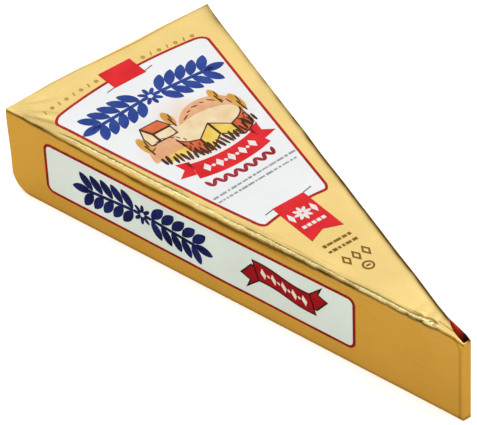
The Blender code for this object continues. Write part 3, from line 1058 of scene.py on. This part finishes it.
def rectangle(tab):
    return ((tab["left"], tab["low"]), (tab["right"], tab["low"]),
            (tab["right"], tab["high"]), (tab["left"], tab["high"]))


def makeTabs():
    mesh = bmesh.new()
    addOutline(mesh, rectangle(backTab))
    corners = rectangle(frontTab)
    notch = ((frontTab["left"] + frontTab["right"]) / 2, frontTab["low"] + frontTab["notch"])
    addOutline(mesh, (corners[0], notch, *corners[1:]))
    return mesh


topRed = makeInk("ribbonRed", "red_ink", (232, 40, 46), (214, 28, 38))
foldRed = makeInk("ribbonFoldRed", "red_ink", (140, 24, 20), (108, 16, 14))
# The walls' ribbon red is a darker copy of the top's: painted shade
shadedWallRed = makeInk("shadedSideRibbonRed", "red_ink", (160, 8, 14), (132, 4, 10), gloss=0.03)
outlineRed = makeInk("ribbonOutline", "red_ink", (48, 8, 8), (30, 4, 6), gloss=0.03)
layPrint("topRibbon", onTopRibbon(ribbonBand(topRibbon)), "ribbon", topRed)
layPrint("topRibbonTails", onTopRibbon(bothEnds(topRibbon["tail"], False)), "leaves", topRed)
layPrint("topRibbonFolds", onTopRibbon(bothEnds(topRibbon["fold"], False)), "folds", foldRed)
layPrint("redTabs", makeTabs(), "outline", topRed)
layOnWalls("Ribbon", makeSideRibbon, "folds", shadedWallRed)
layOnWalls("RibbonTails", makeSideTails, "leaves", shadedWallRed)
layOnWalls("RibbonOutline", lambda: borderOf(makeSideRibbon(), sideRibbon["outline"]), "outline", outlineRed)
layOnWalls("TailOutline", lambda: borderOf(makeSideTails(), sideRibbon["outline"]), "ribbon", outlineRed)
print("ribbons laid")


# Small marks on the ribbons, the tabs and the foil

ribbonMarks = {"count": 5, "gap": 4.2, "length": 3.9, "width": 2.5, "dot": 1.2}
sideRibbonMarks = {"count": 5, "gap": 3.7, "length": 3.5, "width": 2.0, "dot": 1.0}
leafRow = {"middle": (-1.4, 15.2), "bend": -70.0, "half": 11.8, "gap": 1.85, "length": 3.5, "width": 1.35,
           "slant": 62.0}
fineRows = (
    # left, right, height at the middle, rise per unit, stroke
    (-16.4, 15.2, 11.1, 0.058, 0.85),
    (-16.2, 13.6, 8.75, 0.044, 0.85),
)
brownRows = (
    (-5.6, 5.0, -26.4, 0.0, 1.25),
    (-5.8, 5.6, -29.3, 0.0, 1.25),
)
tabMarks = {"petals": 8, "middle": (-0.6, -11.0), "petal": 2.7, "width": 1.15, "bars": -16.2, "aside": 4.1,
            "lozenge": (4.6, 1.9)}
pointMarks = {"middle": (-0.4, -35.0), "gap": 3.55, "length": 4.9, "width": 2.9, "stroke": 0.62,
              "ring": (-0.4, -40.4), "ringAcross": 3.9}
slits = (
    # from, to
    ((-10.5, 67.7), (-7.4, 68.2)),
    ((4.3, 68.6), (7.4, 69.2)),
    ((-9.3, -4.8), (-6.2, -4.3)),
    ((5.3, -4.0), (8.6, -3.4)),
)
rimTicks = {"half": 27.5, "gap": 2.9, "length": 1.6, "width": 0.5, "height": 74.2, "bend": 200.0,
            "middle": -2.5, "slant": 74.0}


def addLozenge(mesh, at, length, width, turn=0.0):
    return moveShape(mesh, addOutline(mesh, ((-width / 2, 0.0), (0.0, -length / 2), (width / 2, 0.0),
                                             (0.0, length / 2))), at, turn)


def lozengeRow(marks):
    mesh = bmesh.new()
    middle = (marks["count"] - 1) / 2
    for n in range(marks["count"]):
        a = (n - middle) * marks["gap"]
        addLozenge(mesh, (a, 0.0), marks["length"], marks["width"])
        if n < marks["count"] - 1:
            addDot(mesh, (a + marks["gap"] / 2, 0.0), marks["dot"], 10)
    return mesh


def addBrokenRow(mesh, row, draw):
    # Short bars of uneven length with small gaps
    left, right, middle, rise, stroke = row
    a = left
    while a < right - 0.6:
        length = min(draw.uniform(0.7, 2.6), right - a)
        at = (a + length / 2, middle + rise * (a + length / 2))
        addBar(mesh, at, length, stroke * draw.uniform(0.7, 1.0), math.degrees(math.atan(rise)))
        a += length + draw.uniform(0.3, 0.65)


def makeTabMarks():
    mesh = bmesh.new()
    a, b = tabMarks["middle"]
    for n in range(tabMarks["petals"]):
        angle = 360.0 * n / tabMarks["petals"]
        away = Vector((math.cos(math.radians(angle)), math.sin(math.radians(angle))))
        away *= 0.62 * tabMarks["petal"]
        addLeaf(mesh, (a + away.x, b + away.y), tabMarks["petal"], tabMarks["width"], angle, 0.6, 12)
    for side in (-1, 1):
        addLozenge(mesh, (a + side * tabMarks["aside"], b), *tabMarks["lozenge"])
    for n in range(5):
        addBar(mesh, (a + (n - 2) * 1.75, tabMarks["bars"]), 1.3, 1.3)
    return mesh


def makeLeafRow():
    mesh = bmesh.new()
    for n, place in enumerate(evenly(-leafRow["half"], leafRow["half"], leafRow["gap"])):
        slant = leafRow["slant"] if n % 2 else 180.0 - leafRow["slant"]
        addLeaf(mesh, (place, 0.0), leafRow["length"], leafRow["width"], slant, 0.6, 12)
    return bendOnArc(mesh, leafRow["middle"], leafRow["bend"])


def makeFineRows(listed, seed):
    mesh = bmesh.new()
    draw = random.Random(seed)
    for row in listed:
        addBrokenRow(mesh, row, draw)
    return mesh


def makePointMarks():
    mesh = bmesh.new()
    a, b = pointMarks["middle"]
    stroke = pointMarks["stroke"]
    for n in (-1, 0, 1):
        verts = addLozenge(mesh, (a + n * pointMarks["gap"], b), pointMarks["length"], pointMarks["width"])
        hollowOut(mesh, [verts[0].link_faces[0]], stroke)
    addRing(mesh, pointMarks["ring"], pointMarks["ringAcross"], stroke)
    addBar(mesh, pointMarks["ring"], 1.5, stroke)
    return mesh


def makeSlits():
    mesh = bmesh.new()
    for start, end in slits:
        run = Vector(end) - Vector(start)
        middle = (Vector(start) + Vector(end)) / 2
        addBar(mesh, middle, run.length, 0.3, math.degrees(math.atan2(run.y, run.x)))
    return mesh


def makeRimTicks():
    mesh = bmesh.new()
    for n, place in enumerate(evenly(-rimTicks["half"], rimTicks["half"], rimTicks["gap"])):
        if backTab["left"] - 2.0 < place + rimTicks["middle"] < backTab["right"] + 2.0:
            continue
        if n % 2:
            addRing(mesh, (place, 0.0), 0.9 * rimTicks["length"], rimTicks["width"], 10)
        else:
            addBar(mesh, (place, 0.0), rimTicks["length"], rimTicks["width"], rimTicks["slant"])
    return bendOnArc(mesh, (rimTicks["middle"], rimTicks["height"]), rimTicks["bend"])


markWhite = makeInk("markWhite", "white_ink", (244, 240, 236), (232, 224, 218), 300.0)
# The walls' mark white is a darker copy of the top's: painted shade
shadedWallMarkWhite = makeInk("shadedSideMarkWhite", "white_ink", (220, 212, 192), (200, 190, 168), 300.0)
rowRed = makeInk("rowRed", "red_ink", (176, 46, 60), (150, 34, 46))
rowGrey = makeInk("rowGrey", "brown_ink", (168, 172, 172), (146, 150, 150))
markBrown = makeInk("markBrown", "brown_ink", (142, 106, 34), (116, 84, 22))
tickOlive = makeInk("tickOlive", "brown_ink", (196, 160, 78), (178, 142, 62))
slitGrey = makeInk("slitGrey", "brown_ink", (110, 112, 116), (90, 92, 96))
layPrint("ribbonMarks", onTopRibbon(lozengeRow(ribbonMarks)), "outline", markWhite)
layPrint("tabMarks", makeTabMarks(), "tabMarks", markWhite)
layOnWalls("RibbonMarks", lambda: onSideRibbon(lozengeRow(sideRibbonMarks)), "strokes", shadedWallMarkWhite)
layPrint("leafRow", makeLeafRow(), "leaves", rowRed)
layPrint("greyRows", makeFineRows(fineRows, 5), "leaves", rowGrey)
layPrint("brownRows", makeFineRows(brownRows, 8), "panel", markBrown)
layPrint("weightMarks", makePointMarks(), "panel", markBrown)
layPrint("slitLines", makeSlits(), "strokes", slitGrey)
layPrint("rimTicks", makeRimTicks(), "ticks", tickOlive)
print("marks laid")


# The picture: a big cut cheese in front of hills, a barn and trees

cheese = {"middle": (3.4, 38.2), "across": 23.0, "deep": 10.4, "tall": 6.6, "cut": (-122.0, -62.0)}
barn = {"left": -15.6, "right": -5.6, "foot": 40.0, "eaves": 44.2, "ridge": 48.6, "gable": 3.6}
hills = (
    # middle, half width, height, foot
    (-11.6, 7.6, 9.4, 33.0),
    (6.5, 11.0, 10.4, 38.0),
)
trees = (
    # middle, foot, tall, across
    (-17.0, 37.2, 8.4, 3.2), (-4.2, 43.4, 7.0, 3.0), (16.2, 36.0, 8.6, 3.2), (12.6, 43.0, 6.8, 2.8),
)
table = {"left": -16.2, "right": 15.4, "low": 30.8, "high": 33.6, "slant": 2.0}
grass = {"left": -16.8, "right": 15.6, "foot": 26.4, "gap": 1.5, "tall": 5.2, "width": 1.15, "curve": 0.014}
hatch = {"count": 46, "length": (1.4, 3.2), "width": 0.42}
penStroke = 0.42


def halfEllipse(middle, halfWidth, height, foot):
    turns = [math.pi * n / 16 for n in range(17)]
    return [(middle + halfWidth * math.cos(t), foot + height * math.sin(t)) for t in turns]


def rimPoint(degrees, down=0.0):
    t = math.radians(degrees)
    a, b = cheese["middle"]
    return a + cheese["across"] / 2 * math.cos(t), b + cheese["deep"] / 2 * math.sin(t) - down


def rimArc(start, stop, down=0.0):
    return [rimPoint(start + (stop - start) * n / 14, down) for n in range(15)]


def cheeseParts():
    first, second = cheese["cut"]
    a, b = cheese["middle"]
    tall = cheese["tall"]
    return {
        "top": [(a, b)] + rimArc(second, first + 360.0),
        "leftRind": rimArc(-180.0, first) + rimArc(first, -180.0, tall),
        "rightRind": rimArc(second, 0.0) + rimArc(0.0, second, tall),
        "leftCut": [(a, b), (a, b - tall), rimPoint(first, tall), rimPoint(first)],
        "rightCut": [(a, b), rimPoint(second), rimPoint(second, tall), (a, b - tall)],
    }


def shapesPiece(outlines):
    mesh = bmesh.new()
    for points in outlines:
        addOutline(mesh, points)
    return mesh


def barnParts():
    left, right, foot, eaves, ridge = (barn[key] for key in ("left", "right", "foot", "eaves", "ridge"))
    gable = left + barn["gable"]
    peak = (left + gable) / 2
    return {
        "wall": [(left, foot), (gable, foot), (gable, eaves), (peak, ridge), (left, eaves)],
        "side": [(gable, foot), (right, foot), (right, eaves), (gable, eaves)],
        "roof": [(gable, eaves), (right + 0.5, eaves), (right - 1.4, ridge), (peak, ridge)],
    }


def makeGrass():
    mesh = bmesh.new()
    draw = random.Random(3)
    for place in evenly(grass["left"], grass["right"], grass["gap"]):
        tall = grass["tall"] * draw.uniform(0.6, 1.0)
        lean = draw.uniform(-12.0, 12.0)
        a = place + draw.uniform(-0.2, 0.2)
        at = (a, grass["foot"] + grass["curve"] * a * a + tall / 2)
        addLeaf(mesh, at, tall, grass["width"] * draw.uniform(0.7, 1.1), 90.0 + lean, 0.45, 12)
    return mesh


def makeTrees():
    mesh = bmesh.new()
    for a, foot, tall, across in trees:
        addLeaf(mesh, (a, foot + tall / 2), tall, across, 90.0, 0.5)
    return mesh


def makeHatch():
    # Short pen strokes on the rind, the hills and under the trees
    mesh = bmesh.new()
    draw = random.Random(21)
    for n in range(hatch["count"]):
        turn = draw.uniform(-175.0, -5.0)
        down = draw.uniform(0.8, cheese["tall"] - 0.8)
        if cheese["cut"][0] - 5.0 < turn < cheese["cut"][1] + 5.0:
            continue
        addLeaf(mesh, rimPoint(turn, down), draw.uniform(*hatch["length"]) * 0.7, hatch["width"],
                draw.uniform(70.0, 110.0), 0.6, 8)
    for middle, halfWidth, height, foot in hills:
        for n in range(7):
            turn = math.pi * (n + 1.5) / 10
            at = (middle + 0.82 * halfWidth * math.cos(turn), foot + 0.82 * height * math.sin(turn))
            slope = math.degrees(turn) + 70.0
            addLeaf(mesh, at, draw.uniform(*hatch["length"]), hatch["width"], slope, 0.6, 8)
    for at, foot, tall, _ in trees:
        addBar(mesh, (at, foot + tall * 0.22), 0.5, tall * 0.6)
        addLeaf(mesh, (at + 0.8, foot + tall * 0.55), tall * 0.5, 0.45, 80.0, 0.6, 8)
    return mesh


def makePenStrokes():
    # Brown outlines round the cheese and the barn
    mesh = shapesPiece(list(cheeseShapes.values()) + list(barnShapes.values()))
    for face in mesh.faces[:]:
        hollowOut(mesh, [face], penStroke)
    return mesh


def tableOutline():
    left, right, low, high = (table[key] for key in ("left", "right", "low", "high"))
    return [(left, low), (right, low), (right - table["slant"], high), (left + table["slant"], high)]


def pictureInk(name, slotName, tone, deep):
    return makeInk("picture" + name, slotName, tone, deep, 260.0)


peach = pictureInk("Peach", "ochre_ink", (236, 184, 140), (226, 158, 112))
ochre = pictureInk("Ochre", "ochre_ink", (226, 176, 84), (206, 148, 62))
orange = pictureInk("Orange", "ochre_ink", (228, 118, 70), (206, 84, 46))
cream = pictureInk("Cream", "ochre_ink", (246, 228, 190), (238, 206, 156))
yellow = pictureInk("Yellow", "ochre_ink", (246, 216, 108), (234, 192, 80))
brown = pictureInk("Brown", "brown_ink", (92, 52, 28), (62, 32, 18))
cheeseShapes, barnShapes = cheeseParts(), barnParts()
orangeShapes = [cheeseShapes["leftRind"], cheeseShapes["rightRind"], barnShapes["roof"]]
creamShapes = [cheeseShapes["top"], barnShapes["wall"], barnShapes["side"]]
layPrint("pictureHills", shapesPiece([halfEllipse(*hill) for hill in hills]), "hills", peach)
layPrint("pictureTable", shapesPiece([tableOutline()]), "table", yellow)
layPrint("pictureTrees", makeTrees(), "trees", ochre)
layPrint("pictureRind", shapesPiece(orangeShapes), "folds", orange)
layPrint("pictureCream", shapesPiece(creamShapes), "folds", cream)
layPrint("pictureYellow", shapesPiece([cheeseShapes["leftCut"], cheeseShapes["rightCut"]]), "folds", yellow)
layPrint("pictureStrokes", makePenStrokes(), "outline", brown)
layPrint("pictureHatch", makeHatch(), "strokes", brown)
layPrint("pictureGrass", makeGrass(), "strokes", brown)
print("picture laid")


# Camera, floor and light

view = {
    "aim": (-8.86, -8.55, 21.06), "azimuth": 52.394, "elevation": 40.988, "roll": -1.690,
    "distance": 1911.8, "lens": 499.1,
}


def addCamera():
    data = bpy.data.cameras.new("studioCamera")
    camera = bpy.data.objects.new("studioCamera", data)
    bpy.context.scene.collection.objects.link(camera)
    azimuth, elevation = math.radians(view["azimuth"]), math.radians(view["elevation"])
    back = Vector((math.sin(azimuth) * math.cos(elevation), -math.cos(azimuth) * math.cos(elevation),
                   math.sin(elevation)))
    turn = back.to_track_quat("Z", "Y") @ Matrix.Rotation(math.radians(view["roll"]), 3, "Z").to_quaternion()
    camera.rotation_mode = "QUATERNION"
    camera.rotation_quaternion = turn
    camera.location = (Vector(view["aim"]) + back * view["distance"]) * millimetre
    data.sensor_width = 36.0
    data.lens = view["lens"]
    data.clip_end = 50.0
    bpy.context.scene.camera = camera


studio = {
    "world": 0.77, "horizon": 0.34, "horizonSpan": (0.02, 0.4), "backdrop": 1.0,
    "floor": (250, 250, 250), "floorGlow": 0.42, "floorSize": 24.0, "floorGap": 0.1,
}
softBoxes = (
    # name, direction from the pack, distance, width, power
    ("overheadBox", (-0.10, 0.10, 1.0), 1.5, 1.4, 5.2),
    ("backBox", (-0.60, 0.46, 0.66), 1.6, 1.2, 1.4),
    ("frontBox", (0.25, -0.85, 0.55), 1.8, 0.9, 0.5),
    ("sideBox", (-0.60, -0.62, 0.50), 1.6, 1.2, 1.5),
)


def mixShaders(tree, share, first, second, output):
    mix = addNode(tree, "ShaderNodeMixShader")
    for source, socket in zip((share, first.outputs[0], second.outputs[0]), mix.inputs):
        tree.links.new(source, socket)
    tree.links.new(mix.outputs[0], output.inputs["Surface"])


def addFloor():
    mesh = bmesh.new()
    bmesh.ops.create_grid(mesh, x_segments=1, y_segments=1, size=studio["floorSize"] / 2)
    material, tree, shader = newMaterial("paleFloor")
    shader.inputs["Base Color"].default_value = (*linear(studio["floor"]), 1.0)
    shader.inputs["Roughness"].default_value = 0.9
    shader.inputs["Emission Color"].default_value = (1.0, 1.0, 1.0, 1.0)
    shader.inputs["Emission Strength"].default_value = studio["floorGlow"]
    # From below the floor is clear, so that the underside of the pack shows
    fromBelow = addNode(tree, "ShaderNodeNewGeometry").outputs["Backfacing"]
    clear = addNode(tree, "ShaderNodeBsdfTransparent")
    mixShaders(tree, fromBelow, shader, clear, tree.nodes["Material Output"])
    floor = addObject("paleFloor", mesh, [material])
    floor.location.z = -studio["floorGap"] * millimetre


def addLight(name, direction, distance, width, power):
    data = bpy.data.lights.new(name, "AREA")
    data.size = width
    data.energy = power
    light = bpy.data.objects.new(name, data)
    bpy.context.scene.collection.objects.link(light)
    away = Vector(direction).normalized()
    light.location = away * distance
    light.rotation_mode = "QUATERNION"
    light.rotation_quaternion = away.to_track_quat("Z", "Y")


def addWorld():
    # Dim near the horizon and brighter overhead, behind a plain pale backdrop
    world = bpy.data.worlds.new("studio")
    world.use_nodes = True
    bpy.context.scene.world = world
    tree = world.node_tree
    split = addNode(tree, "ShaderNodeSeparateXYZ")
    tree.links.new(addNode(tree, "ShaderNodeTexCoord").outputs["Generated"], split.inputs[0])
    glow = rangeOf(tree, split.outputs["Z"], *studio["horizonSpan"], studio["horizon"], studio["world"])
    lit = tree.nodes["Background"]
    tree.links.new(glow, lit.inputs["Strength"])
    lit.inputs["Color"].default_value = (1.0, 1.0, 1.0, 1.0)
    backdrop = addNode(tree, "ShaderNodeBackground")
    backdrop.inputs["Strength"].default_value = studio["backdrop"]
    seen = addNode(tree, "ShaderNodeLightPath").outputs["Is Camera Ray"]
    mixShaders(tree, seen, lit, backdrop, tree.nodes["World Output"])


addCamera()
addFloor()
addWorld()
for box in softBoxes:
    addLight(*box)
bpy.context.scene.view_settings.view_transform = "Standard"
print("studio ready")
